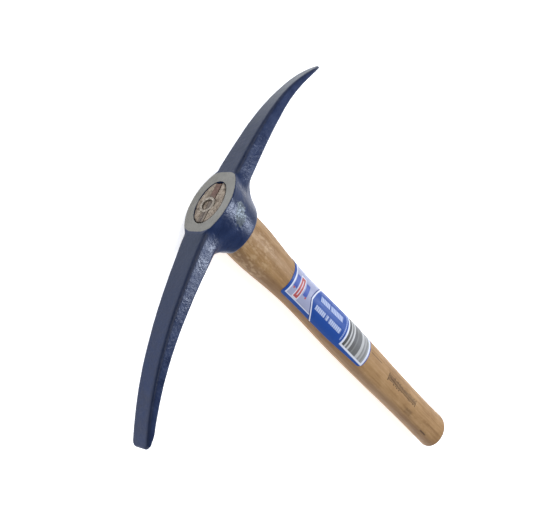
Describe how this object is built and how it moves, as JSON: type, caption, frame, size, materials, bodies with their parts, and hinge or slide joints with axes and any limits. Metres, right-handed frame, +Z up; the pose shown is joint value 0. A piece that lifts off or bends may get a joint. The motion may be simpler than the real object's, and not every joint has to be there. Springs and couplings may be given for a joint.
{
  "type": "chisel-and-point hand pick",
  "caption": "Short-handled prospecting pick: a forged head with a chisel end and a pointed end, wedged on an oval hardwood handle.",
  "frame": {"origin": "centre of the ground eye face, on the handle's axis and in the tool's mid-plane", "axes": "the tool lies on its side: +X along the handle from the eye face to the butt, +Y towards the point with the chisel at -Y, +Z up through the stamped cheek"},
  "size_m": [0.378, 0.299, 0.0348],
  "materials": {
    "head_paint": "satin navy paint over forged steel",
    "hickory": "lacquered",
    "wedge_wood": "raw",
    "bare_steel": "ground",
    "label_print": "satin print"
  },
  "bodies": {
    "root": {"pick_head": "head_paint", "handle": "hickory", "kerf_wedge": "wedge_wood", "ring_wedge": "bare_steel", "label": "label_print"}
  },
  "joints": []
}
